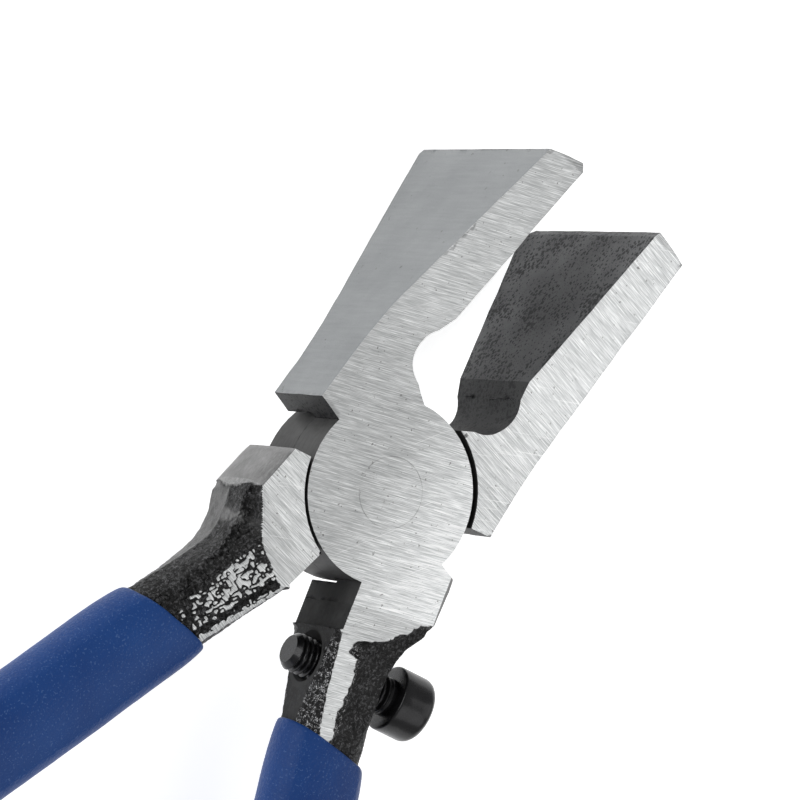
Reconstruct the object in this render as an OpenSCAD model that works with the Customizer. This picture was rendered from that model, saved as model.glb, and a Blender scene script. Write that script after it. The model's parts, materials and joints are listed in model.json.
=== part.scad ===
// Wide-jaw pliers with a flush lap joint, vinyl-dipped handles and a closing-stop screw.
// The pliers lie flat. +Z is the pivot axis, +X points to the jaws, and the origin is
// where the pivot axis leaves the back of the joint. The jaw faces are parallel here.

/* [Jaws] */
// Gap between the jaw faces as drawn
jaw_gap = 13.2; // [12:0.1:14]
// Distance from the pivot axis to the jaw tips
jaw_reach = 45.4; // [42:0.1:48]
// Width of each jaw at its tip
jaw_w = 32; // [28:0.5:34]
// Thickness of each jaw at its tip
jaw_tip_t = 5.4; // [4.5:0.1:6.5]
// Distance from the pivot axis at which the jaws start to widen
flare_start = 14.5; // [13.5:0.1:16]
// Distance from the pivot axis to the rear end of the jaw faces
face_start = 21.7; // [21.5:0.1:24]
// Radius of the throat behind the jaw faces
throat_r = 4; // [3.5:0.1:4.2]

/* [Lap joint] */
// Thickness of the joint from one ground face to the other
joint_t = 12.4; // [12:0.1:13]
// Radius of each lap disc
disc_r = 11.65; // [11.5:0.05:11.7]
// Gap between a lap disc and the shoulder of the other handle
handle_shoulder_gap = 0.45; // [0.4:0.05:0.6]
// Gap between a lap disc and the shoulder of the other jaw
jaw_shoulder_gap = 0.75; // [0.5:0.05:0.8]
// Gap between the two lapped faces
lap_gap = 0.06; // [0.04:0.01:0.1]

/* [Pivot rivet] */
// Radius of the rivet's shank
rivet_r = 3.5; // [3:0.1:4]
// Radius of its flush heads
rivet_head_r = 4.45; // [4.2:0.05:5]
// Thickness of each flush head
rivet_head_t = 1.8; // [1.5:0.1:2]
// Radial clearance in the half that turns on the rivet
rivet_clearance = 0.05; // [0.02:0.01:0.08]

/* [Handles] */
// Angle between each handle and the long axis
handle_angle = 21.5; // [20:0.5:23]
// Width of the oval steel handle
tang_w = 11.2; // [10.8:0.1:11.6]
// Thickness of the oval steel handle
tang_t = 7.7; // [7.4:0.1:8]
// Length of the straight part of a handle, from the front of its grip
handle_straight = 52; // [45:1:60]
// Radius of the bend in the rear part of a handle
handle_bend_r = 320; // [280:5:400]
// Angle of that bend
handle_bend = 13; // [11:0.5:14]

/* [Grips] */
// Wall of the vinyl sleeve
grip_wall = 0.95; // [0.8:0.05:1.2]

/* [Stop screw] */
// Thread diameter
screw_d = 5; // [4.8:0.1:5]
// Length under the head
screw_len = 15.3; // [15:0.1:16]
// Diameter of the cylindrical head
screw_head_d = 8.5; // [8:0.1:8.6]
// Height of the head
screw_head_h = 5; // [4.5:0.1:5.2]
// Size of the hex socket across its flats
socket_af = 4; // [3.5:0.1:4]
// Depth of the hex socket
socket_depth = 2.5; // [2:0.1:3]
// Angle of the screw from a line across the pliers
screw_angle = 11.5; // [10:0.5:13]
// Radial clearance of the screw in its hole
screw_clearance = 0.05; // [0.02:0.01:0.08]

/* [Hidden] */
$fn = 96;

steel = [0.78, 0.79, 0.8];
black = [0.13, 0.13, 0.14];
vinyl = [0.12, 0.25, 0.5];

eps = 0.01;
far = 60;
mid = joint_t / 2;
face_y = jaw_gap / 2;

// directions, counted from +X, at which a half's jaw and handle leave its disc
jaw_inner_dir = 12;
jaw_outer_dir = 75.5;
handle_outer_dir = -104.5;

// the jaw, seen along the pivot axis
shoulder_h = 3.75;
jaw_bend = [18.4, 14.3];
tip_outer = [jaw_reach - 1.5, face_y + jaw_tip_t];
tip_chamfer = 0.5;
throat_at = [16.8, 4.25];
throat_front = [19.4, 7.3];
throat_back = [13, 5.25];

// how far each tip corner is cut back, along the jaw and across its width
crisp_corner = [1.2, 0.3];
worn_corner = [2.2, 1.4];

// the handle's root, seen along the pivot axis, on the side of the screw half
root_crotch = [-11.3, -3.35];
flank_end = [-17.4, -4.75];
root_outer = [-3.5, -14.0];
milled_end = [-9.7, -15.0];
root_dip = [[-13.4, -15.0], [-15.0, -14.7], [-17.1, -14.9], [-20.7, -16.0]];
ramp_from = [-9.7, -14.9];
ramp_dir = 133.3;
ramp_slope = 24;

// the handle's axis starts at the front of the grip, where x is constant round the sleeve
handle_at = [-28.8, -13.65];
grip_front = -28.9;
tang_root = 11.5;

// the stop screw's tip, on the mid-plane of the joint
screw_tip = [-21.97, -2.86];
tip_bevel = 0.7;
head_bevel = 0.6;

function polar(r, a) = [r * cos(a), r * sin(a)];

// A vertical wall on one side of x = 0, used to give each recess its own radius
module half_disc(r, h, side) {
    intersection() {
        cylinder(r = r, h = h);
        translate([side > 0 ? 0 : -far, -far, -eps]) cube([far, 2 * far, h + 2 * eps]);
    }
}

module jaw_plan() {
    difference() {
        polygon([
            [0, 0],
            polar(disc_r - 0.2, jaw_inner_dir),
            throat_back,
            throat_at,
            throat_front,
            [face_start, face_y],
            [jaw_reach - 2 * tip_chamfer, face_y],
            [jaw_reach, face_y + tip_chamfer],
            tip_outer,
            jaw_bend,
            polar(disc_r + shoulder_h, jaw_outer_dir)
        ]);
        translate(throat_at) circle(r = throat_r);
    }
}

// The jaw widens in a straight line from the joint's thickness to its full width at the tip
module jaw_side(upper_cut, lower_cut) {
    side = jaw_w / 2;
    polygon([
        [0, mid], [flare_start, mid],
        [jaw_reach - upper_cut[0], side], [jaw_reach, side - upper_cut[1]],
        [jaw_reach, lower_cut[1] - side], [jaw_reach - lower_cut[0], -side],
        [flare_start, -mid], [0, -mid]
    ]);
}

module jaw(upper_cut, lower_cut) {
    intersection() {
        translate([0, 0, -far]) linear_extrude(2 * far) jaw_plan();
        translate([0, far, mid]) rotate([90, 0, 0])
            linear_extrude(2 * far) jaw_side(upper_cut, lower_cut);
    }
}

module root_plan() {
    polygon(concat(
        [[0, 0], polar(disc_r - 0.05, handle_outer_dir), root_outer, milled_end],
        root_dip,
        [[-19.2, -4.4], flank_end, root_crotch]
    ));
}

// The ground faces end on a slanting line, and the forging slopes down from there
module ramp_cut() {
    translate([ramp_from[0], ramp_from[1], joint_t]) rotate([0, 0, ramp_dir - 90])
        rotate([0, -ramp_slope, 0]) translate([-far, -far, 0]) cube([far, 2 * far, far]);
}

module root() {
    difference() {
        linear_extrude(joint_t) root_plan();
        ramp_cut();
        translate([0, 0, joint_t]) mirror([0, 0, 1]) ramp_cut();
    }
}

module oval(w, t) {
    square([w - t, t], center = true);
    for (side = [-1, 1]) translate([side * (w - t) / 2, 0]) circle(d = t);
}

module at_handle() {
    translate([handle_at[0], handle_at[1], mid]) rotate([0, 0, 180 + handle_angle])
        children();
}

// A bar of oval section along the handle's axis, from `front` to the end of the bend
module handle_bar(w, t, front) {
    at_handle() {
        translate([front, 0, 0]) rotate([0, 90, 0]) rotate([0, 0, 90])
            linear_extrude(handle_straight - front) oval(w, t);
        translate([handle_straight, -handle_bend_r, 0]) rotate([0, 0, 90 - handle_bend])
            rotate_extrude(angle = handle_bend, $fn = 360)
                translate([handle_bend_r, 0]) oval(w, t);
    }
}

module at_handle_end() {
    at_handle() translate([handle_straight, -handle_bend_r, 0]) rotate([0, 0, -handle_bend])
        translate([0, handle_bend_r, 0]) children();
}

module half(upper_cut, lower_cut) {
    difference() {
        union() {
            translate([0, 0, mid + lap_gap / 2]) cylinder(r = disc_r, h = mid - lap_gap / 2);
            difference() {
                union() {
                    jaw(upper_cut, lower_cut);
                    root();
                }
                translate([0, 0, -eps])
                    half_disc(disc_r + jaw_shoulder_gap, mid + lap_gap / 2 + eps, 1);
                translate([0, 0, -eps])
                    half_disc(disc_r + handle_shoulder_gap, mid + lap_gap / 2 + eps, -1);
            }
            handle_bar(tang_w, tang_t, -tang_root);
        }
        children();
    }
}

// Turns a part of one half into the same part of the other: the two are one forging
module other_side() {
    translate([0, 0, joint_t]) rotate([180, 0, 0]) children();
}

module at_screw_tip() {
    translate([screw_tip[0], screw_tip[1], mid]) rotate([0, 0, screw_angle])
        rotate([90, 0, 0]) children();
}

module screw_half() {
    color(steel) half(crisp_corner, worn_corner) {
        translate([0, 0, mid]) cylinder(r = rivet_r, h = joint_t);
        translate([0, 0, joint_t - rivet_head_t]) cylinder(r = rivet_head_r, h = joint_t);
        at_screw_tip() translate([0, 0, -far / 2])
            cylinder(d = screw_d + 2 * screw_clearance, h = far);
    }
}

module plain_half() {
    color(steel) other_side() half(worn_corner, crisp_corner) {
        translate([0, 0, mid]) cylinder(r = rivet_r + rivet_clearance, h = joint_t);
        translate([0, 0, joint_t - rivet_head_t - rivet_clearance])
            cylinder(r = rivet_head_r + rivet_clearance, h = joint_t);
    }
}

module pivot_rivet() {
    color(steel) {
        cylinder(r = rivet_r, h = joint_t);
        cylinder(r = rivet_head_r, h = rivet_head_t);
        translate([0, 0, joint_t - rivet_head_t])
            cylinder(r = rivet_head_r, h = rivet_head_t);
    }
}

module stop_screw() {
    head_r = screw_head_d / 2;
    color(black) at_screw_tip() difference() {
        rotate_extrude() polygon([
            [0, 0], [screw_d / 2 - tip_bevel, 0], [screw_d / 2, tip_bevel],
            [screw_d / 2, screw_len], [head_r, screw_len],
            [head_r, screw_len + screw_head_h - head_bevel],
            [head_r - head_bevel, screw_len + screw_head_h],
            [0, screw_len + screw_head_h]
        ]);
        translate([0, 0, screw_len + screw_head_h - socket_depth])
            cylinder(r = socket_af / sqrt(3), h = far, $fn = 6);
    }
}

// The vinyl is dipped, so its front edge lies square to the pliers and not to the handle
module grip() {
    grip_w = tang_w + 2 * grip_wall;
    grip_t = tang_t + 2 * grip_wall;
    difference() {
        union() {
            handle_bar(grip_w, grip_t, -tang_root);
            at_handle_end() {
                for (side = [-1, 1]) translate([0, side * (grip_w - grip_t) / 2, 0])
                    sphere(d = grip_t);
                rotate([90, 0, 0]) cylinder(d = grip_t, h = grip_w - grip_t, center = true);
            }
        }
        handle_bar(tang_w, tang_t, -tang_root - 1);
        translate([grip_front, -far, -far]) cube([far, 2 * far, 2 * far]);
    }
}

module screw_side_grip() {
    color(vinyl) grip();
}

module plain_side_grip() {
    color(vinyl) other_side() grip();
}

screw_half();
plain_half();
pivot_rivet();
stop_screw();
screw_side_grip();
plain_side_grip();
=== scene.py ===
"""Wide-jaw pliers: detailed halves, grips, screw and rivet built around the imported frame."""
import json
from math import cos, pi, radians, sin, sqrt

import bmesh
import bpy
import numpy as np
from mathutils import Matrix, Vector


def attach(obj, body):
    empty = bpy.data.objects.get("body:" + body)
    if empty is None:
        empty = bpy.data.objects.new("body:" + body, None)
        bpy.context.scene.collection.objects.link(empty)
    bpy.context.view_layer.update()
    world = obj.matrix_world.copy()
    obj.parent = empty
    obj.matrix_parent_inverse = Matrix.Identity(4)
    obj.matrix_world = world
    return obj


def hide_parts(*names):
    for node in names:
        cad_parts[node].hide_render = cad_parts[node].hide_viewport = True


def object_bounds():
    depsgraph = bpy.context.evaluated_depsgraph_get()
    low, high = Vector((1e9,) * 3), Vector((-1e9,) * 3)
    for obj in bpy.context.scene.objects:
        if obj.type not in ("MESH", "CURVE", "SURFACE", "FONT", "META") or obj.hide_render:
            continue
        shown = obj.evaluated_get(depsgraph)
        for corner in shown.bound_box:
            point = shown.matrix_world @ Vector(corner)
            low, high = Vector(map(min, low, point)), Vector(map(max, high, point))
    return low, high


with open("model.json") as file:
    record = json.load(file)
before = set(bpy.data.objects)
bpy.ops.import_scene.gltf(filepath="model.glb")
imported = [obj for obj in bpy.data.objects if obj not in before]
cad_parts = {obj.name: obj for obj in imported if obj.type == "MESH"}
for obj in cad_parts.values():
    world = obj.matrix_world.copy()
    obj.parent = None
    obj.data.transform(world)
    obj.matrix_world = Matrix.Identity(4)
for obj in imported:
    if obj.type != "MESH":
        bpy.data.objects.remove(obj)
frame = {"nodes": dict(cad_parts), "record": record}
cad_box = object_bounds()

# lengths are in mm, apart from the camera's and the lights', and MM takes them to metres
MM = 0.001
JOINT_T = 12.4                          # thickness of the joint
MID = JOINT_T / 2                       # its mid-plane

# a forging's handle axis: from the front of the grip back along AXIS, straight and then bent;
# OUT points away from the other handle
HANDLE_AT = np.array((-28.8, -13.65))
HANDLE_ANGLE = radians(21.5)
AXIS = np.array((-cos(HANDLE_ANGLE), -sin(HANDLE_ANGLE)))
OUT = np.array((sin(HANDLE_ANGLE), -cos(HANDLE_ANGLE)))
STRAIGHT = 52.0
BEND_R = 320.0
HANDLE_END = STRAIGHT + BEND_R * radians(13)

FLARE_AT, FLARE = 14.5, 9.8 / 30.9      # where the jaw starts to widen, and how fast
CUT_AT = -17.3                          # where the machined joint ends and the shank starts
WALL_AT, WALL_TAPER = 8.258, 0.2186     # the root's outer wall at CUT_AT, and its taper
WALL_BULGE = 0.85                       # how much fuller that wall is at mid-height
FLANK_AT, FLANK_TAPER = -3.583, 0.15    # the root's inner flank in the same way
FLANK_END = -13.95                      # where the milled flank stops at a step

RIVET_R, RIVET_SHANK_R, RIVET_HEAD_T = 4.45, 3.5, 1.8

# the screw: its tip, its thread, its head from THREAD_L to SCREW_L, and the hole it runs in
SCREW_TIP = (-21.97, -2.86, MID)
THREAD_R, GROOVE, PITCH, THREAD_L = 2.47, 0.47, 0.8, 15.3
HEAD_R, SCREW_L, HEX_R = 4.25, 20.3, 2.0
HOLE_R, RECESS_R = 2.62, 3.82
AROUND = 96                             # points round each turned part

GRIP_W, GRIP_T = 13.1, 9.6              # section of the grips
STEEL_W, STEEL_T = 11.2, 7.7            # section of the steel inside them

# the camera looks at CAM_TARGET from CAM_DISTANCE away
CAM_TARGET = Vector((0.0117, 0.0029, 0.0062))
CAM_AZIMUTH = radians(122.63)
CAM_ELEVATION = radians(60.57)
CAM_ROLL = radians(93.97)
CAM_DISTANCE = 0.7111
CAM_LENS = 257.6


# ---------------------------------------------------------------- numbers and noise

def lattice(i, j, k, seed):
    """A fixed, scattered value from -1 to 1 for each whole-number point."""
    n = (i * 73856093) ^ (j * 19349663) ^ (k * 83492791) ^ (seed * 2654435761)
    n = ((n ^ (n >> 13)) * 1274126177) & 0xFFFFFFFF
    n = ((n ^ (n >> 15)) * 2246822519) & 0xFFFFFFFF
    return ((n >> 8) & 0xFFFF) / 32767.5 - 1


def noise(p, size, seed=0):
    """Smooth value noise from -1 to 1 at points p (..., 3), with blobs of about that size."""
    q = np.asarray(p) / size + 512.0
    i = np.floor(q).astype(np.int64)
    f = q - i
    f = f * f * (3 - 2 * f)
    total = 0
    for dx in (0, 1):
        for dy in (0, 1):
            for dz in (0, 1):
                w = ((f[..., 0] if dx else 1 - f[..., 0]) * (f[..., 1] if dy else 1 - f[..., 1])
                     * (f[..., 2] if dz else 1 - f[..., 2]))
                total = total + w * lattice(i[..., 0] + dx, i[..., 1] + dy, i[..., 2] + dz, seed)
    return total


def table(x, rows):
    """Value at x on the line through rows of (x, value)."""
    xs, ys = zip(*rows)
    return np.interp(x, xs, ys)


def step(lo, hi, x):
    """Smooth rise from 0 at lo to 1 at hi."""
    t = np.clip((x - lo) / (hi - lo), 0, 1)
    return t * t * (3 - 2 * t)


def turned(p):
    """One forging's points to the other half's place: it is turned over about the long axis."""
    return p * np.array((1, -1, -1)) + np.array((0, 0, JOINT_T))


def along_handle(s, n, z):
    """Points at distance s along the handle, n outwards from its axis and z up, in mm."""
    phi = np.maximum(s - STRAIGHT, 0) / BEND_R
    u = np.where(s > STRAIGHT, STRAIGHT + (BEND_R + n) * np.sin(phi), s)
    v = np.where(s > STRAIGHT, -BEND_R + (BEND_R + n) * np.cos(phi), n)
    return np.stack((HANDLE_AT[0] + u * AXIS[0] + v * OUT[0],
                     HANDLE_AT[1] + u * AXIS[1] + v * OUT[1], z), axis=-1)


# ---------------------------------------------------------------- mesh helpers

def new_object(name, mesh):
    o = bpy.data.objects.new(name, mesh)
    bpy.context.collection.objects.link(o)
    return o


def ring_mesh(name, rings, values=None):
    """A closed skin over rings (rows, around, 3), with a fan over each end.

    Each of values, an array (rows, around), becomes a value at the vertices.
    """
    rows, around = rings.shape[:2]
    ends = np.stack((rings[0].mean(0), rings[-1].mean(0)))
    verts = np.concatenate((rings.reshape(-1, 3), ends)) * MM
    a = np.arange(rows - 1)[:, None] * around + np.arange(around)[None, :]
    b = np.arange(rows - 1)[:, None] * around + (np.arange(around)[None, :] + 1) % around
    quads = np.stack((a, b, b + around, a + around), -1).reshape(-1, 4).tolist()
    first, last = rows * around, rows * around + 1
    top = (rows - 1) * around
    fans = [(first, (k + 1) % around, k) for k in range(around)]
    fans += [(last, top + k, top + (k + 1) % around) for k in range(around)]
    mesh = bpy.data.meshes.new(name)
    mesh.from_pydata(verts.tolist(), [], quads + fans)
    for key, v in (values or {}).items():
        layer = mesh.attributes.new(key, "FLOAT", "POINT")
        layer.data.foreach_set("value", np.concatenate((v.ravel(), (v[0, 0], v[-1, 0])))
                               .astype(np.float32))
    bm = bmesh.new()
    bm.from_mesh(mesh)
    bmesh.ops.recalc_face_normals(bm, faces=bm.faces)
    bm.to_mesh(mesh)
    bm.free()
    return new_object(name, mesh)


def smooth(o, angle):
    o.data.shade_smooth()
    o.data.set_sharp_from_angle(angle=radians(angle))


def apply_modifiers(o):
    """Replace the object's mesh by the one its modifiers make."""
    graph = bpy.context.evaluated_depsgraph_get()
    mesh = bpy.data.meshes.new_from_object(o.evaluated_get(graph))
    o.modifiers.clear()
    o.data = mesh


def cut(o, cutter):
    """Take the cutter's solid out of the object, and the cutter out of the scene."""
    mod = o.modifiers.new("cut", "BOOLEAN")
    mod.operation = "DIFFERENCE"
    mod.solver = "EXACT"
    mod.object = cutter
    bpy.context.view_layer.update()
    apply_modifiers(o)
    bpy.data.objects.remove(cutter)


# ---------------------------------------------------------------- materials

class Nodes:
    """Short ways to add shader nodes to one material. Sizes are in mm."""

    def __init__(self, name):
        self.mat = bpy.data.materials.new(name)
        self.mat.use_nodes = True
        self.tree = self.mat.node_tree
        self.bsdf = self.tree.nodes["Principled BSDF"]
        self.coord = self.tree.nodes.new("ShaderNodeTexCoord").outputs["Object"]

    def add(self, kind, **settings):
        node = self.tree.nodes.new(kind)
        for key, value in settings.items():
            setattr(node, key, value)
        return node

    def link(self, a, b):
        self.tree.links.new(a, b)

    def fill(self, socket, value):
        if hasattr(value, "is_linked"):
            self.link(value, socket)
        else:
            socket.default_value = value

    def mapped(self, turn, scale):
        """Coordinates turned about Z, in which a pattern is drawn out by scale."""
        m = self.add("ShaderNodeMapping", vector_type="TEXTURE")
        self.link(self.coord, m.inputs["Vector"])
        m.inputs["Rotation"].default_value = (0, 0, turn)
        m.inputs["Scale"].default_value = scale
        return m.outputs["Vector"]

    def noise(self, size, detail, rough=0.55, vector=None, distortion=0.0):
        n = self.add("ShaderNodeTexNoise")
        self.link(vector or self.coord, n.inputs["Vector"])
        n.inputs["Scale"].default_value = 1 / (size * MM)
        n.inputs["Detail"].default_value = detail
        n.inputs["Roughness"].default_value = rough
        n.inputs["Distortion"].default_value = distortion
        return n.outputs["Fac"]

    def cells(self, size):
        n = self.add("ShaderNodeTexVoronoi", feature="F1")
        self.link(self.coord, n.inputs["Vector"])
        n.inputs["Scale"].default_value = 1 / (size * MM)
        return n.outputs["Distance"]

    def ramp(self, fac, stops, grey=True):
        n = self.add("ShaderNodeValToRGB")
        self.link(fac, n.inputs["Fac"])
        e = n.color_ramp.elements
        while len(e) < len(stops):
            e.new(0.5)
        for element, (at, value) in zip(e, stops):
            element.position = at
            element.color = (value, value, value, 1) if grey else (*value, 1)
        return n.outputs["Color"]

    def math(self, op, a, b=0.5, c=None):
        n = self.add("ShaderNodeMath", operation=op)
        self.fill(n.inputs[0], a)
        self.fill(n.inputs[1], b)
        if c is not None:
            self.fill(n.inputs[2], c)
        return n.outputs[0]

    def mix(self, fac, a, b, mode="MIX"):
        n = self.add("ShaderNodeMix", data_type="RGBA", blend_type=mode)
        self.fill(n.inputs["Factor"], fac)
        for socket, value in ((n.inputs[6], a), (n.inputs[7], b)):
            self.fill(socket, value if hasattr(value, "is_linked") else (*value, 1))
        return n.outputs[2]

    def weighed(self, *parts):
        """Sum of (value, weight) pairs."""
        total = None
        for value, weight in reversed(parts):
            part = self.math("MULTIPLY", value, weight)
            total = part if total is None else self.math("ADD", part, total)
        return total

    def span(self, value, start, end, low=0.0, high=1.0):
        """The value's way from start to end, as low to high."""
        n = self.add("ShaderNodeMapRange")
        self.link(value, n.inputs["Value"])
        for key, x in (("From Min", start), ("From Max", end), ("To Min", low), ("To Max", high)):
            n.inputs[key].default_value = x
        return n.outputs["Result"]

    def grey(self, lo, hi, fac):
        return self.ramp(fac, [(0.0, lo), (1.0, hi)])

    def axis(self, which):
        n = self.add("ShaderNodeSeparateXYZ")
        self.link(self.coord, n.inputs[0])
        return n.outputs[which]

    def bump(self, height, depth):
        n = self.add("ShaderNodeBump")
        n.inputs["Strength"].default_value = 1.0
        n.inputs["Distance"].default_value = depth * MM
        self.link(height, n.inputs["Height"])
        return n.outputs["Normal"]

    def surface(self, color, rough, metallic, normal=None):
        self.fill(self.bsdf.inputs["Base Color"], color)
        self.fill(self.bsdf.inputs["Roughness"], rough)
        self.fill(self.bsdf.inputs["Metallic"], metallic)
        if normal is not None:
            self.link(normal, self.bsdf.inputs["Normal"])
        return self.mat


def ground_layers(k, turn):
    """Colour, roughness and height of steel ground along one direction in the joint's plane."""
    fine = k.noise(0.085, 2, 0.7, k.mapped(turn, (34, 1, 34)))
    broad = k.noise(0.13, 3, 0.65, k.mapped(turn + 0.03, (28, 1, 28)))
    cloud = k.noise(7, 3, 0.55)
    stray = k.noise(0.16, 1, 0.5, k.mapped(turn + 0.6, (60, 1, 60)))
    lines = k.mix(0.4, fine, broad)
    scratch = k.ramp(stray, [(0.70, 0.0), (0.76, 1.0)])
    specks = k.ramp(k.noise(0.45, 2, 0.5), [(0.25, 1.0), (0.31, 0.0)])
    color = k.ramp(lines, [(0.31, (0.29, 0.30, 0.302)), (0.5, (0.55, 0.56, 0.561)),
                           (0.65, (0.91, 0.92, 0.92))], grey=False)
    color = k.mix(0.5, color, k.grey(0.35, 0.75, cloud), "SOFT_LIGHT")
    color = k.mix(k.math("MULTIPLY", scratch, 0.45), color, (0.95, 0.95, 0.95))
    color = k.mix(k.math("MULTIPLY", specks, 0.75), color, (0.12, 0.115, 0.11))
    rough = k.grey(0.40, 0.56, lines)
    height = k.math("ADD", lines, k.math("MULTIPLY", specks, -1.2))
    return color, rough, height


def ground_steel(name, turn, across):
    """The flat ground faces, with painted light and shade across them from two factors, and a faint
    ring at the rivet.
    """
    k = Nodes(name)
    color, rough, height = ground_layers(k, turn)
    x, y = k.axis(0), k.axis(1)
    # painted light and shade: the colour is scaled from the first factor in across at y = 3 mm to
    # the second at y = -12 mm, darker or brighter than the steel's own tone
    color = k.mix(1.0, color, k.span(y, 3 * MM, -12 * MM, *across), "MULTIPLY")
    r = k.math("SQRT", k.math("ADD", k.math("MULTIPLY", x, x), k.math("MULTIPLY", y, y)))
    off = k.math("ABSOLUTE", k.math("SUBTRACT", r, RIVET_R * MM))
    ring = k.math("LESS_THAN", off, 0.07 * MM)
    broken = k.ramp(k.noise(1.6, 2), [(0.38, 0.0), (0.6, 1.0)])
    ring = k.math("MULTIPLY", ring, k.math("MULTIPLY", broken, 0.5))
    color = k.mix(ring, color, (0.25, 0.25, 0.25))
    return k.surface(color, rough, 0.92, k.bump(height, 0.012))


def satin_steel(name):
    """The jaws' outer faces: fine, even grey with faint streaks across the jaw."""
    k = Nodes(name)
    streak = k.noise(0.5, 3, 0.6, k.mapped(0.0, (1, 1, 14)))
    grain = k.noise(0.12, 2, 0.6)
    cloud = k.noise(8, 3, 0.55)
    fac = k.weighed((streak, 0.35), (grain, 0.3), (cloud, 0.35))
    color = k.ramp(fac, [(0.3, (0.212, 0.223, 0.230)), (0.7, (0.327, 0.338, 0.344))], grey=False)
    pit = k.ramp(k.noise(0.9, 2, 0.5), [(0.24, 1.0), (0.29, 0.0)])
    color = k.mix(k.math("MULTIPLY", pit, 0.6), color, (0.09, 0.09, 0.09))
    return k.surface(color, k.grey(0.42, 0.55, streak), 0.75, k.bump(fac, 0.01))


def pitted_scale(name, light=1.0):
    """Dark scale with dense small black pits, crowded in places, with painted shade darkening it
    towards the throat.
    """
    k = Nodes(name)
    crowd = k.noise(5, 3, 0.6)
    big = k.math("ADD", k.cells(0.62), k.math("MULTIPLY", k.noise(0.5, 2), 0.15))
    small = k.math("ADD", k.cells(0.33), k.math("MULTIPLY", k.noise(0.3, 2), 0.12))
    reach = k.math("MULTIPLY_ADD", crowd, 1.1, -0.12)
    pits = k.math("LESS_THAN", big, reach)
    dots = k.math("LESS_THAN", small, k.math("MULTIPLY_ADD", crowd, 0.9, -0.06))
    grain = k.noise(0.16, 3, 0.6)
    base = k.ramp(k.noise(6, 3, 0.6), [(0.3, (0.075 * light, 0.077 * light, 0.082 * light)),
                                       (0.7, (0.145 * light, 0.148 * light, 0.153 * light))],
                  grey=False)
    # painted shade: the colour falls to 0.72 towards the throat, where the jaws close in
    base = k.mix(1.0, base, k.span(k.axis(0), 20 * MM, 30 * MM, 0.72), "MULTIPLY")
    base = k.mix(k.math("MULTIPLY", grain, 0.5), base, (0.13 * light,) * 3)
    dark = k.math("MAXIMUM", k.math("MULTIPLY", pits, 0.85), k.math("MULTIPLY", dots, 0.6))
    color = k.mix(dark, base, (0.006, 0.006, 0.008))
    height = k.math("ADD", k.math("MULTIPLY", grain, 0.35), k.math("MULTIPLY", dark, -1.0))
    k.bsdf.inputs["Specular IOR Level"].default_value = 0.3
    return k.surface(color, k.grey(0.45, 0.65, grain), 0.35, k.bump(height, 0.05))


def milled(name, lo, hi, metallic, shine=0.2, rough=(0.45, 0.6)):
    """A cutter's smooth finish with faint lines along it, from tone lo to hi."""
    k = Nodes(name)
    lines = k.noise(0.25, 2, 0.5, k.mapped(0.2, (12, 1, 1)))
    cloud = k.noise(3.5, 3, 0.6)
    grain = k.noise(0.2, 3, 0.6)
    fac = k.weighed((lines, 0.3), (cloud, 0.45), (grain, 0.25))
    k.bsdf.inputs["Specular IOR Level"].default_value = shine
    return k.surface(k.ramp(fac, [(0.3, lo), (0.7, hi)]), k.grey(*rough, grain), metallic,
                     k.bump(fac, 0.012))


def forged_steel(name, turn):
    """Black forging scale, changed by five values at the vertices, each from 0 to 1.

    Above 0, `bright` is ground through to steel. `flat` is plain and matt, `pale` is painted
    light: a lit grey. `painted_glint_zone` sets painted highlight specks on its crests, and `milled`
    carries on the finish of the shoulder.
    """
    k = Nodes(name)
    bright, flat, pale, painted_glint_zone, milled_here = (
        k.add("ShaderNodeAttribute", attribute_name=n).outputs["Fac"]
        for n in ("bright", "flat", "pale", "painted_glint_zone", "milled"))
    worn = k.span(bright, 0.001, 0.018)
    color, rough, height = ground_layers(k, turn)
    grain = k.noise(0.42, 3, 0.62, distortion=0.8)
    fine = k.noise(0.14, 2, 0.6)
    lump = k.noise(1.5, 3, 0.6)
    painted_glint = k.ramp(fine, [(0.48, 0.0), (0.60, 1.0)])
    crest = k.ramp(grain, [(0.48, 0.0), (0.66, 1.0)])
    scale = k.ramp(lump, [(0.3, 0.010), (0.7, 0.028)])
    patch = k.ramp(k.noise(2.6, 2), [(0.35, 0.0), (0.65, 1.0)])
    patchy = k.math("MULTIPLY_ADD", patch, 0.26, 0.12)
    # painted light: the crests of the scale's relief are painted lighter, in patches
    scale = k.mix(k.math("MULTIPLY", crest, patchy), scale, (0.22, 0.22, 0.23))
    # painted highlights: near-white specks on the crests where `painted_glint_zone` is set
    painted_glints = k.math("MULTIPLY", k.math("MULTIPLY", painted_glint, crest), painted_glint_zone)
    scale = k.mix(painted_glints, scale, (0.85, 0.85, 0.86))
    plain = k.ramp(lump, [(0.3, 0.024), (0.7, 0.044)])
    scale = k.mix(flat, scale, plain)
    # painted light: where pale is set the scale is painted a lit grey
    scale = k.mix(pale, scale, k.ramp(lump, [(0.3, 0.13), (0.7, 0.24)]))
    scale = k.mix(milled_here, scale, k.ramp(grain, [(0.3, 0.14), (0.7, 0.34)]))
    rough_scale = k.mix(flat, k.grey(0.28, 0.50, grain), k.grey(0.68, 0.82, grain))
    keep = k.math("SUBTRACT", 1.0, k.math("MULTIPLY", k.math("MAXIMUM", flat, milled_here), 0.9))
    rough_height = k.math("MULTIPLY", k.math("MULTIPLY_ADD", fine, 0.35, grain), keep)
    both = k.mix(worn, k.math("MULTIPLY", rough_height, 22.0), height)
    metal = k.math("MULTIPLY_ADD", k.math("MAXIMUM", worn, milled_here), 0.52, 0.40)
    metal = k.math("SUBTRACT", metal, k.math("MULTIPLY", flat, 0.38))
    k.bsdf.inputs["Specular IOR Level"].default_value = 0.15
    return k.surface(k.mix(worn, scale, color), k.mix(worn, rough_scale, rough), metal,
                     k.bump(both, 0.014))


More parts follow.
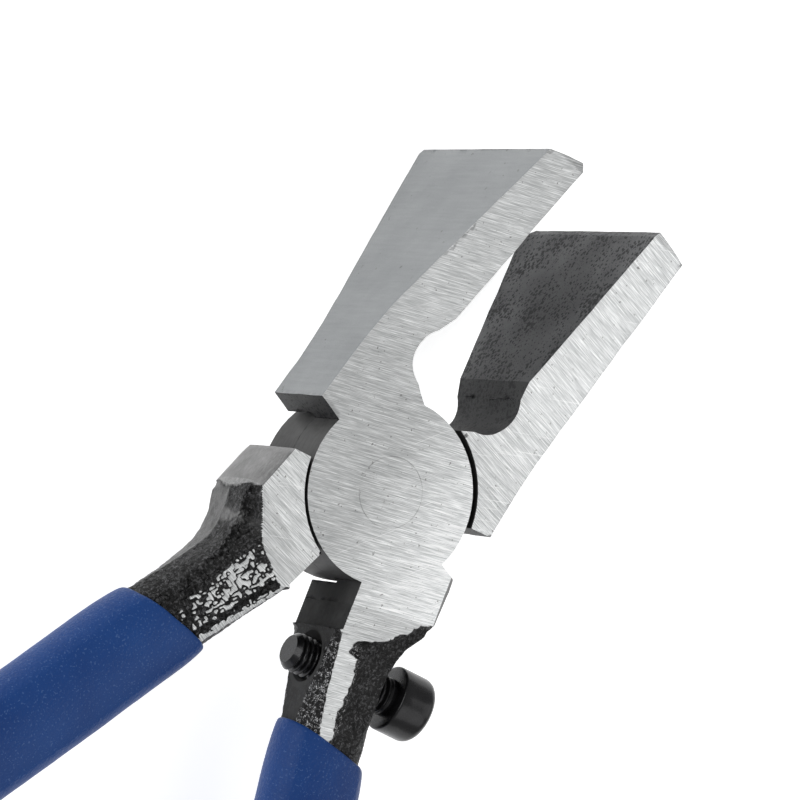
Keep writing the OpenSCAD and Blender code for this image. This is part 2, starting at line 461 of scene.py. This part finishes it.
def black_oxide(name):
    """The screw's black finish, rubbed a little lighter in places."""
    k = Nodes(name)
    grain = k.noise(0.25, 3, 0.6)
    rub = k.ramp(k.noise(1.8, 3, 0.6), [(0.45, 0.0), (0.75, 1.0)])
    color = k.mix(k.math("MULTIPLY", rub, 0.3), (0.011, 0.011, 0.012), (0.034, 0.034, 0.037))
    k.bsdf.inputs["Coat Weight"].default_value = 0.2
    k.bsdf.inputs["Coat Roughness"].default_value = 0.16
    k.bsdf.inputs["Specular IOR Level"].default_value = 0.3
    return k.surface(color, k.grey(0.22, 0.36, grain), 0.5, k.bump(grain, 0.01))


def vinyl(name):
    """Dipped vinyl: deep blue, softly pebbled, with tiny painted highlight specks."""
    k = Nodes(name)
    pebble = k.noise(0.42, 2, 0.5)
    fine = k.noise(0.15, 2, 0.6)
    cloud = k.noise(11, 3, 0.5)
    painted_glint = k.ramp(k.noise(0.26, 1, 0.5), [(0.62, 0.0), (0.72, 1.0)])
    color = k.ramp(cloud, [(0.3, (0.005, 0.038, 0.175)), (0.7, (0.009, 0.056, 0.225))], grey=False)
    # painted highlights: tiny light-blue specks mixed into the colour
    color = k.mix(k.math("MULTIPLY", painted_glint, 0.17), color, (0.22, 0.36, 0.62))
    height = k.math("ADD", pebble, k.math("MULTIPLY", fine, 0.4))
    k.bsdf.inputs["Specular IOR Level"].default_value = 0.24
    return k.surface(color, k.grey(0.36, 0.52, pebble), 0.0, k.bump(height, 0.11))


# ---------------------------------------------------------------- the machined joint and jaws

FINISHES = ("ground", "satin", "pitted", "dark", "flank", "shoulder", "rim")
GROUND, SATIN, PITTED, DARK, FLANK, SHOULDER, RIM = range(len(FINISHES))
JAW_AT = 14.4                           # the ground face in front of this slopes up the jaw
THROAT_END = 21.5                       # the throat is behind this and the jaw face before it
DISC_EDGE = 12.55                       # just outside the lap discs


def zone(c, n):
    """Which finish a face of the machined part has, from its centre and its normal."""
    r = sqrt(c.x ** 2 + c.y ** 2)
    if abs(n.z) > 0.8:
        return GROUND if c.z > JOINT_T - 0.3 or c.z < 0.3 or c.x > JAW_AT else RIM
    if r < DISC_EDGE and abs(c.x * n.x + c.y * n.y) > 0.97 * r:
        return RIM
    if c.x > 13 and c.y < 9.2 and n.y < 0.75 and n.x < 0.9:
        return PITTED if c.x > THROAT_END else DARK
    if c.x > 2 and c.y > 9:
        return SATIN if n.x > -0.6 else DARK
    if c.x < -3 and c.y < 0 and n.y > 0.2:
        return FLANK
    if c.y < -12 and n.y < -0.7:
        return SHOULDER
    return DARK if c.x < 5 else PITTED


def root_wall(s):
    """How far out the root's outer wall is, at its top and bottom edges."""
    return WALL_AT - WALL_TAPER * (s - CUT_AT)


def uneven(co, seed):
    """Points of the machined part after its sides, root and jaw have lost their straightness."""
    r = np.hypot(co[:, 0], co[:, 1])
    s = (co[:, :2] - HANDLE_AT) @ AXIS
    loose = step(12.6, 14.5, r) * step(0, 1.2, CUT_AT - s)
    shift = np.stack((noise(co, 3.2, seed), noise(co, 3.2, seed + 1)), 1) * 0.06
    shift += np.stack((noise(co, 1.0, seed + 2), noise(co, 1.0, seed + 3)), 1) * 0.025
    co[:, :2] += shift * loose[:, None]
    # the root's outer wall, here 0.002 further out than the shank's, is fuller at mid-height,
    # so that its top edge is a soft chamfer
    n = (co[:, :2] - HANDLE_AT) @ OUT
    full = WALL_BULGE * (1 - (np.abs(co[:, 2] - MID) / MID) ** 3)
    on_wall = (np.abs(n - (root_wall(s) + 0.002)) < 0.35) & (s > -24)
    co[:, :2] += (on_wall * full * step(-23.8, -22.0, s))[:, None] * OUT
    # the ground face runs up onto the jaw in a slow curve, not at a crease
    past, bend = co[:, 0] - FLARE_AT, 6.5
    sharp = np.maximum(past, 0)
    soft = np.where(np.abs(past) < bend, (past + bend) ** 2 / (4 * bend), sharp)
    rise = FLARE * (soft - sharp) * step(12.2, 14.5, r)
    side = np.sign(co[:, 2] - MID) * step(3.0, 6.0, np.abs(co[:, 2] - MID))
    co[:, 2] += rise * side
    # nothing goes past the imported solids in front, or past the cut behind
    co[:, 0] = np.minimum(co[:, 0], cad_box[1][0] / MM)
    co[:, :2] -= np.maximum((co[:, :2] - HANDLE_AT) @ AXIS - CUT_AT, 0)[:, None] * AXIS
    return co


def machined_part(name, node, over, ground, seed):
    """Jaw, disc and root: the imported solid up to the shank, its edges broken, its sides uneven."""
    turn_over = Matrix.Translation((0, 0, JOINT_T)) @ Matrix.Rotation(pi, 4, "X")
    bm = bmesh.new()
    bm.from_mesh(frame["nodes"][node].data)
    bm.transform(Matrix.Scale(1 / MM, 4))
    if over:
        bm.transform(turn_over)
    bmesh.ops.remove_doubles(bm, verts=bm.verts, dist=1e-4)
    bmesh.ops.dissolve_limit(bm, angle_limit=radians(0.6), verts=bm.verts, edges=bm.edges)
    normal = Vector((*AXIS, 0))
    origin = Vector((*(HANDLE_AT + CUT_AT * AXIS), 0))
    geom = bm.verts[:] + bm.edges[:] + bm.faces[:]
    bmesh.ops.bisect_plane(bm, geom=geom, plane_co=origin, plane_no=normal, clear_outer=True)
    rim = [e for e in bm.edges if e.is_boundary]
    bmesh.ops.contextual_create(bm, geom=rim)
    bmesh.ops.recalc_face_normals(bm, faces=bm.faces)
    bm.faces.ensure_lookup_table()
    for f in bm.faces:
        f.material_index = zone(f.calc_center_median(), f.normal)

    def on_cut(e):
        return all(abs((v.co - origin).dot(normal)) < 1e-3 for v in e.verts)

    # the shoulder's top edge is rounded, and every other sharp edge is broken
    shoulder = [e for e in bm.edges if all(v.co.z > JOINT_T - 0.01 and v.co.y < -13.4
                                           and -9.9 < v.co.x < -3 for v in e.verts)
                and e.calc_face_angle(0) > radians(60)]
    bmesh.ops.bevel(bm, geom=shoulder, offset=0.62, offset_type="OFFSET", segments=4, profile=0.5,
                    affect="EDGES", clamp_overlap=False, material=SHOULDER)
    bm.normal_update()
    edges = [e for e in bm.edges if len(e.link_faces) == 2 and not on_cut(e)
             and e.calc_face_angle(0) > radians(28)
             and max(v.co.xy.length for v in e.verts) > 5]      # the rivet's hole keeps its edge
    bmesh.ops.bevel(bm, geom=edges, offset=0.13, offset_type="OFFSET", segments=2,
                    profile=0.6, affect="EDGES", clamp_overlap=True, material=GROUND)
    bmesh.ops.triangulate(bm, faces=bm.faces, quad_method="BEAUTY", ngon_method="BEAUTY")
    for _ in range(5):
        long = [e for e in bm.edges if e.calc_length() > 1.0]
        if not long:
            break
        bmesh.ops.subdivide_edges(bm, edges=long, cuts=1, use_grid_fill=False)
        bmesh.ops.triangulate(bm, faces=[f for f in bm.faces if len(f.verts) > 3])
    for v, p in zip(bm.verts, uneven(np.array([v.co for v in bm.verts]), seed)):
        v.co = p
    mesh = bpy.data.meshes.new(name)
    if over:
        bm.transform(turn_over)
    bm.transform(Matrix.Scale(MM, 4))
    bmesh.ops.recalc_face_normals(bm, faces=bm.faces)
    bm.to_mesh(mesh)
    bm.free()
    o = new_object(name, mesh)
    for m in (ground, *(mats[finish] for finish in FINISHES[1:])):
        mesh.materials.append(m)
    smooth(o, 26)
    return o


# ---------------------------------------------------------------- the forged shank

def ground_plane(s):
    """Height above mid-plane of the ground surface, which falls away along the shank."""
    fall = 0.19 * np.maximum(s + 13.2, 0) * step(-13.6, -12, s)
    return MID - 0.003 - np.where(s > 2.5, 0, fall)


def shank_rings(seed, painted_light_side):
    """Rings of the forged shank, and the values for forged_steel at their points.

    s is the distance along the handle, n the distance out from its axis and h the height
    above or below mid-plane. `up` is the half's own side, whose ground face is level with its
    disc. With painted_light_side the outer wall gets a painted pale band of light on that side, and
    the other side gets two painted highlights. Tables hold (s, value).
    """
    close = np.arange(CUT_AT + 0.004, 3.6, 0.13)
    in_grip = np.linspace(6, HANDLE_END - 0.2, 22)
    s = np.concatenate(([CUT_AT - 0.3], close, in_grip))
    th = np.linspace(0, 2 * pi, 300, endpoint=False)
    s, th = np.meshgrid(s, th, indexing="ij")
    c, q = np.cos(th), np.sin(th)
    up = q > 0

    # section: a rounded box, wider outwards than inwards, and taller than it will be ground
    inner = table(s, [(-17.7, 6.5), (-13.9, 5.0), (-13.4, 4.85), (-11, 4.95), (-7, 5.15),
                      (-3, 5.35), (1, 5.5), (3.5, 5.55)])
    outer = table(s, [(-17.7, 9.6), (-17.0, 9.2), (-16.0, 8.35), (-14.8, 7.3), (-13.4, 6.15),
                      (-11.8, 5.35), (-10.3, 5.0), (-8, 4.9), (-3, 5.0), (1, 5.25), (3.5, 5.5)])
    a = np.where(c > 0, outer, inner)
    plane = ground_plane(s)
    spare = table(s, [(-17.7, 2.6), (-13, 1.5), (-8, 0.8), (0, 0.15), (2.5, -0.05)])
    b = np.where(s > 2.5, 3.8, plane + spare)
    p = table(s, [(-17.7, 5.5), (-14, 3.6), (-9, 3.0), (0, 2.7), (3.5, 2.3)])
    p = np.where(c < 0, table(s, [(-17.3, 9), (-15.5, 8), (-13.6, 3.6), (-9, 3.0), (3.5, 2.3)]), p)
    p = np.where((c > 0) & ~up, table(s, [(-17.3, 4.5), (-14, 2.6), (-9, 2.4), (3.5, 2.3)]), p)
    r = ((np.abs(c) / a) ** p + (np.abs(q) / b) ** p) ** (-1 / p)
    n, h = r * c, r * np.abs(q)
    at = np.stack((s, n, MID + h * np.sign(q)), -1)
    in_plane = at * np.array((1, 1, 0))
    rough = 0.06 * noise(at, 0.34, seed) + 0.06 * noise(at, 0.9, seed + 1) \
        + 0.10 * noise(at, 3.5, seed + 2)
    fade = step(CUT_AT, -16.4, s) * (1 - step(2.6, 3.4, s))
    r = r + rough * fade
    n, h = r * c, r * np.abs(q)

    # parting line: a low ridge round the middle
    n = n + np.sign(c) * 0.22 * np.exp(-(h / 0.7) ** 2) * np.abs(c) * fade * (c > 0)

    # own side: the ground face runs on as a tapering strip with a ragged outer edge
    edge = table(s, [(-17.7, 9.5), (-17.3, 8.0), (-16.9, 6.4), (-15.5, 4.7), (-14.2, 2.9),
                     (-13.6, 1.0), (-13.0, -1.9), (-11.5, -2.6), (-10.9, -1.0), (-8.8, -0.6),
                     (-6.9, -0.8), (-4.0, -1.1), (-1.4, -0.8), (3.5, -0.8)])
    rag = 0.17 * noise(in_plane, 0.38, seed + 5) + 0.14 * noise(in_plane, 1.0, seed + 6)
    steep = np.where(s < -12.9, 0.42, 1.0)
    d_up = (n - edge) * steep + rag
    drop_up = table(s, [(-17.7, 1.3), (-14, 1.5), (-11, 0.8), (-6, 0.5), (1, 0.25), (3.5, 0)])
    fall_up = drop_up * (1 - np.exp(-np.maximum(d_up, 0) / 0.55)) - 0.5 * np.minimum(d_up, 0)

    # other side: a scoop next to the ground face, then a band where only high spots are ground;
    # start holds (n, s)
    start = table(n, [(-5, -13.1), (-2.7, -13.0), (2.2, -13.55), (5.4, -15.6), (8.4, -17.35),
                      (9.6, -17.9)])
    d_dn = s - start + 0.25 * rag
    band_hi = table(s, [(-13.6, 2.2), (-7.2, 1.5), (0, 0.6), (3.5, 0.4)])
    side = np.maximum(n - band_hi, -2.3 - n)
    scoop = table(s, [(-17.7, 1.6), (-15, 2.5), (-12.5, 2.7), (-10, 1.6), (-6, 0.8), (1, 0.3),
                      (3.5, 0)])
    off_band = np.where(n > 0, scoop * step(0.0, 2.4, side) + 0.12 * step(0, 0.5, side),
                        0.55 * step(0.0, 0.5, side))
    patch = np.abs(noise(in_plane, 0.45, seed + 8))
    spots = 0.19 - 0.55 * patch + 0.06 * noise(in_plane, 0.25, seed + 9) \
        + 0.10 * step(-5, 0, s) + 0.10 * noise(at, 2.2, seed + 10)
    fall_dn = np.where(d_dn > 0, np.minimum(d_dn * 2.5, 1) * (off_band + spots), -0.3)
    limit = np.where(up, plane - fall_up, plane - fall_dn)
    lowered = np.minimum(h, np.where(up, np.where(d_up > 0, limit, 99), limit))
    lowered = np.where((~up) & (d_dn <= 0), h, lowered)
    bright = lowered - plane
    h = np.minimum(lowered, plane)

    # chamfer ground along the inner edge of the other side: a plane that leans by slope
    slope = 0.45
    reach = table(s, [(-17.7, 99), (-13.6, 8.0), (-12, 7.15), (-9, 6.42), (-5, 5.66), (0, 4.7),
                      (2, 4.4), (3.5, 99)])
    reach = reach + 0.05 * noise(at * np.array((1, 0, 0)), 1.1, seed + 11)
    excess = np.where((c < 0) & (~up), h - slope * n - reach, -1)
    h = np.where(excess > 0, h - excess, h)
    bright = np.maximum(bright, excess)

    # milled flank up to the step, then the trimmed flash
    flank = FLANK_AT - FLANK_TAPER * (s - CUT_AT)
    milled_flank = s < FLANK_END + 0.05 * noise(at, 0.6, seed + 12)
    low = np.where(milled_flank, flank, -(inner - 0.22))
    low = np.where(s > 2.5, -9, low)
    flat = np.where(n < low, np.where(milled_flank, 1.0, 0.8), 0.0)
    bright = np.where((n < low) & (bright < 0.3), -0.2, bright)
    n = np.maximum(n, low)

    # the milled shoulder runs on to a cupped edge, and the forging starts a little below it;
    # cup holds (h, s)
    wall = root_wall(s) + WALL_BULGE * (1 - (h / MID) ** 3)
    wall = wall - np.where(up, np.maximum(h - MID + 0.6, 0), 0)
    cup = table(h, [(0, -16.1), (2.2, -16.4), (3.8, -16.95), (5.4, -17.2), (6.2, -17.4)]) \
        + 0.06 * noise(at, 0.7, seed + 13)
    past = s - cup
    below = np.where(s < -13.5, wall - 0.35 * step(0, 0.8, past), 99)
    n = np.where((past < 0) & (c > 0.5), wall, np.minimum(n, below))
    cut_face = np.where((c > 0.5) & (past < 0.04), 1.0, 0.0)
    # painted light: a pale band painted on the lower outer wall of the half given painted_light_side
    pale = np.where(up & painted_light_side, 0.75, 0.0) * step(0.35, 0.5, c) * step(5.2, 4.4, h) \
        * step(-0.1, 0.5, past)
    # painted highlights: two soft pale patches on the other side, near the joint
    painted_gleam = 0.85 * np.exp(-((s + 13.6) / 0.9) ** 2 - ((n - 6.0) / 0.8) ** 2) \
        + 0.35 * np.exp(-((s + 15.2) / 1.3) ** 2 - ((n - 4.0) / 0.9) ** 2)
    pale = np.where(up, pale, np.clip(painted_gleam * (1 + 1.4 * noise(at, 0.45, seed + 14)), 0, 1))

    # where painted highlight specks go: strongly on the own side's inner zone, weakly elsewhere
    painted_glint_zone = np.where((c < 0) & up & (n > low + 0.01), step(-13.2, -12.2, s), 0.12)
    z = MID + np.where(up, h, -h)
    # the first ring is inside the joint's cut face, and smaller about the section's middle
    first, middle, shrink = s[:, :1] < CUT_AT, 2.3, 0.9
    n = np.where(first, middle + (n - middle) * shrink, n)
    z = np.where(first, MID + (z - MID) * shrink, z)
    return along_handle(s, n, z), {"bright": np.clip(bright, -0.3, 0.3), "flat": flat,
                                   "pale": pale, "painted_glint_zone": painted_glint_zone, "milled": cut_face}


def screw_frame():
    """Place of the screw: +Z from its tip to its head."""
    head = Vector(next(m["axis"] for m in frame["record"]["mounts"]
                       if m["name"] == "stop_screw_socket"))
    side = head.cross(Vector((0, 0, 1))).normalized()
    turn = Matrix((side, head.cross(side), head)).transposed().to_4x4()
    return Matrix.Translation(SCREW_TIP) @ turn


def revolve(profile):
    """Rings of a turned part, from its (radius, z) profile."""
    th = np.linspace(0, 2 * pi, AROUND, endpoint=False)
    prof = np.array(profile, float)
    return np.stack((prof[:, 0, None] * np.cos(th), prof[:, 0, None] * np.sin(th),
                     np.repeat(prof[:, 1, None], AROUND, 1)), -1)


def place(rings, matrix):
    m = np.array(matrix)
    return rings @ m[:3, :3].T + m[:3, 3]


def hole_cutter():
    """What the screw's hole takes out: a wide recess at the tip, a bore and a flared mouth."""
    rings = revolve([(RECESS_R, -6), (RECESS_R, -3.2), (RECESS_R - 0.3, 2.6), (HOLE_R, 3.8),
                     (HOLE_R, 13.2), (HOLE_R + 0.5, 14.0), (HOLE_R + 1.8, 16),
                     (HOLE_R + 1.8, 22)])
    values = {"bright": -0.3, "flat": 1.0, "pale": 0.0, "painted_glint_zone": 0.0, "milled": 0.0}
    values = {key: np.full(rings.shape[:2], v) for key, v in values.items()}
    return ring_mesh("hole", place(rings, screw_frame()), values)


def paint_hole_shade(o):
    """Give the faces inside the screw's hole the near-black flank material, as painted shade in the
    recess.
    """
    o.data.materials.append(mats["flank"])
    to_screw = screw_frame().inverted()
    for f in o.data.polygons:
        if (to_screw @ (f.center / MM)).xy.length < RECESS_R - 0.01:
            f.material_index = 1


def shank(name, over, turn, seed):
    """The forged shank, from the machined joint to the closed end of the grip."""
    points, values = shank_rings(seed, over)
    o = ring_mesh(name, turned(points) if over else points, values)
    if not over:
        cut(o, hole_cutter())
    o.data.materials.clear()
    o.data.materials.append(forged_steel(name + "_steel", turn))
    # painted shade: the faces inside the screw's hole are made near-black
    if not over:
        paint_hole_shade(o)
    smooth(o, 50)
    return o


# ---------------------------------------------------------------- grips, screw, rivet

def oval(th, w, t):
    """Section of a handle, w wide and t thick: round edges and nearly flat sides."""
    c = np.cos(th)
    return (w - t) / 2 * np.clip(1.7 * c, -1, 1) + t / 2 * c, t / 2 * np.sin(th)


def grip(name, node, body, over, slant, seed):
    """A dipped sleeve: thin rounded lip, full wall a few millimetres on, round closed end."""
    th = np.linspace(0, 2 * pi, 160, endpoint=False)
    # (distance along the handle, wall) round the lip; the inside has no wall and no slant
    lip = [(6.0, -0.05), (2.0, -0.05), (0.5, -0.02), (0.06, 0.10), (0.0, 0.22), (0.02, 0.34),
           (0.12, 0.46), (0.35, 0.57), (0.8, 0.66), (1.5, 0.75), (2.5, 0.84), (4.0, 0.92),
           (6.0, 0.95)]
    rows = []
    for s in (HANDLE_END - 0.5, 90, 52, 20):
        rows.append((s, STEEL_W - 0.04, STEEL_T - 0.04, 0.0))
    for s, wall in lip:
        rows.append((s, STEEL_W + 2 * wall, STEEL_T + 2 * wall, 1.0))
    for s in np.arange(6.8, HANDLE_END, 0.8):
        rows.append((s, GRIP_W, GRIP_T, 1.0))
    steps = 12                          # of the round end
    for k in range(1, steps + 1):
        beta = radians(90 * k / steps)
        t = GRIP_T * max(cos(beta), 0.02)
        rows.append((HANDLE_END + GRIP_T / 2 * sin(beta), GRIP_W - GRIP_T + t, t, 1.0))
    rings = []
    for s0, w, t, skew in rows:
        n, z = oval(th, w, t)
        fade = 1 - step(6, 30, s0)
        s = s0 + skew * fade * (0.107 + slant * n / (GRIP_W / 2))
        lump = 0.0
        if w > STEEL_W:
            here = np.stack((s, n, z), -1)
            lump = 0.05 * noise(here, 5, seed) + 0.018 * noise(here, 1.4, seed + 1) - 0.06
            if s0 < 4:
                s = s + 0.09 * noise(np.stack((n, z, 0 * n), -1), 2.6, seed + 2)
        norm = np.hypot(n, z) + 1e-9
        rings.append(along_handle(s, n * (1 + lump / norm), MID + z * (1 + lump / norm)))
    rings = np.array(rings)
    o = ring_mesh(name, turned(rings) if over else rings)
    o.data.materials.append(mats["vinyl"])
    smooth(o, 60)
    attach(o, body)
    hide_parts(node)


def thread_rings():
    """The screw's thread, cut to its bevelled tip and run out under the head."""
    z = np.concatenate(([0.0], np.arange(0.02, THREAD_L, 0.065), [THREAD_L]))
    th = np.linspace(0, 2 * pi, 72, endpoint=False)
    z, th = np.meshgrid(z, th, indexing="ij")
    phase = (z / PITCH - th / (2 * pi)) % 1.0
    groove = np.clip(1.25 - np.abs(phase - 0.5) * 3.1, 0, 1)
    fade = step(0.1, 1.0, z) * (1 - step(THREAD_L - 1.3, THREAD_L - 0.5, z))
    r = THREAD_R - GROOVE * groove * fade
    r = np.minimum(r, 1.82 + z * 0.95)
    return np.stack((r * np.cos(th), r * np.sin(th), z), -1)


def screw():
    """The stop screw: its thread, and its head with a rounded edge and a hexagon socket."""
    thread = ring_mesh("stop_screw_thread", place(thread_rings(), screw_frame()))
    r, top, bottom = HEAD_R, SCREW_L, THREAD_L
    rings = revolve([(2.3, bottom + 0.01), (3.9, bottom + 0.01), (4.1, bottom + 0.05),
                     (4.21, bottom + 0.16), (r, bottom + 0.32), (r, bottom + 1.5),
                     (r, bottom + 3.0), (r, top - 1.15), (4.2, top - 0.82), (4.06, top - 0.5),
                     (3.82, top - 0.24), (3.5, top - 0.08), (3.15, top), (2.62, top)])
    th = np.linspace(0, 2 * pi, AROUND, endpoint=False)
    hexagon = HEX_R / np.cos((th + pi / 6) % (pi / 3) - pi / 6)
    for grow, depth in ((0.16, 0.0), (0.0, 0.16), (0.0, 1.3), (0.0, 2.4)):
        radius = hexagon + grow
        ring = np.stack((radius * np.cos(th), radius * np.sin(th), 0 * th + top - depth), -1)
        rings = np.concatenate((rings, ring[None]))
    rings = np.concatenate((rings, revolve([(1.7, top - 2.45), (0.05, top - 2.5)])))
    head = ring_mesh("stop_screw_head", place(rings, screw_frame()))
    for o in (thread, head):
        o.data.materials.append(mats["screw"])
        smooth(o, 40)
        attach(o, "stop_screw")
        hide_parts("stop_screw")


def rivet():
    """The rivet: a shank between two flush heads."""
    e = 0.03                            # its edges are broken by this much
    r, shank_r, head_t = RIVET_R, RIVET_SHANK_R, RIVET_HEAD_T
    rings = revolve([(0.02, 0), (2.2, 0), (r - e, 0), (r, e), (r, head_t), (shank_r, head_t),
                     (shank_r, MID), (shank_r, JOINT_T - head_t), (r, JOINT_T - head_t),
                     (r, JOINT_T - e), (r - e, JOINT_T), (2.2, JOINT_T), (0.02, JOINT_T)])
    o = ring_mesh("rivet", rings)
    o.data.materials.append(mats["ground_a"])
    smooth(o, 30)
    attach(o, "screw_side")
    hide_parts("pivot_rivet")


def half(node, body, over, ground, turn, seed):
    """One half of the pliers; turn is the direction its faces are ground in."""
    parts = [machined_part(node + "_joint_and_jaw", node, over, ground, seed),
             shank(node + "_shank", over, turn, seed + 20)]
    for o in parts:
        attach(o, body)
        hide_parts(node)


# ---------------------------------------------------------------- studio

def area(name, at, size, power):
    """A white area light that faces the joint."""
    data = bpy.data.lights.new(name, "AREA")
    data.shape = "RECTANGLE"
    data.size, data.size_y = size
    data.energy = power
    o = bpy.data.objects.new(name, data)
    bpy.context.collection.objects.link(o)
    o.location = at
    towards = Vector((0, 0, 0.006)) - Vector(at)
    o.rotation_euler = towards.to_track_quat("-Z", "Y").to_euler()


def camera():
    """The camera, from its direction, its roll and its distance."""
    back = Vector((cos(CAM_ELEVATION) * cos(CAM_AZIMUTH), cos(CAM_ELEVATION) * sin(CAM_AZIMUTH),
                   sin(CAM_ELEVATION)))
    level = Vector((0, 0, 1)).cross(back).normalized()
    right = Matrix.Rotation(CAM_ROLL, 3, back) @ level
    up = back.cross(right)
    cam = bpy.data.objects.new("camera", bpy.data.cameras.new("camera"))
    cam.data.lens = CAM_LENS
    cam.data.sensor_width = 36
    cam.data.clip_start = 0.01
    turn = Matrix((right, up, back)).transposed().to_4x4()
    cam.matrix_world = Matrix.Translation(CAM_TARGET + CAM_DISTANCE * back) @ turn
    bpy.context.collection.objects.link(cam)
    bpy.context.scene.camera = cam


def studio():
    """A pale floor under the pliers, an even white sky and three soft lights."""
    mesh = bpy.data.meshes.new("floor")
    mesh.from_pydata([(-3, -3, 0), (3, -3, 0), (3, 3, 0), (-3, 3, 0)], [], [(0, 1, 2, 3)])
    floor = new_object("floor", mesh)
    floor.location.z = cad_box[0][2] - 0.0001
    k = Nodes("floor_white")
    k.surface(k.ramp(k.noise(400, 2), [(0.3, 0.88), (0.7, 0.9)]), 0.9, 0.0)
    k.bsdf.inputs["Emission Color"].default_value = (1, 1, 1, 1)
    k.bsdf.inputs["Emission Strength"].default_value = 0.62
    mesh.materials.append(k.mat)
    world = bpy.data.worlds.new("world")
    world.use_nodes = True
    sky = world.node_tree.nodes["Background"]
    sky.inputs["Color"].default_value = (1, 1, 1, 1)
    sky.inputs["Strength"].default_value = 0.42
    bpy.context.scene.world = world
    bpy.context.scene.view_settings.view_transform = "Standard"
    area("key", (0.5, -1.05, 1.0), (1.0, 1.0), 4)
    area("jaw_key", (-0.5, -0.6, 1.0), (0.9, 0.9), 3.3)
    area("side", (-0.15, 0.95, 0.38), (0.7, 0.35), 4)


# ---------------------------------------------------------------- the object

TURN_A, TURN_B = radians(111), radians(82)      # direction of the grinding on each half

mats = {
    "ground_a": ground_steel("steel_ground_a", TURN_A, (0.88, 1.46)),
    "ground_b": ground_steel("steel_ground_b", TURN_B, (1.14, 1.2)),
    "satin": satin_steel("steel_satin"),
    "pitted": pitted_scale("steel_pitted"),
    "dark": pitted_scale("steel_dark", 0.42),
    "flank": milled("steel_flank", 0.046, 0.068, 0.0, 0.05, (0.7, 0.85)),
    "shoulder": milled("steel_shoulder", 0.14, 0.34, 0.8),
    "rim": milled("steel_rim", 0.04, 0.09, 0.5),
    "screw": black_oxide("screw_black"),
    "vinyl": vinyl("grip_blue"),
}

half("screw_half", "screw_side", False, mats["ground_a"], TURN_A, 3)
half("plain_half", "plain_side", True, mats["ground_b"], TURN_B, 53)
rivet()
screw()
grip("screw_side_sleeve", "screw_side_grip", "screw_side", False, 2.3, 71)
grip("plain_side_sleeve", "plain_side_grip", "plain_side", True, 2.5, 77)
camera()
studio()
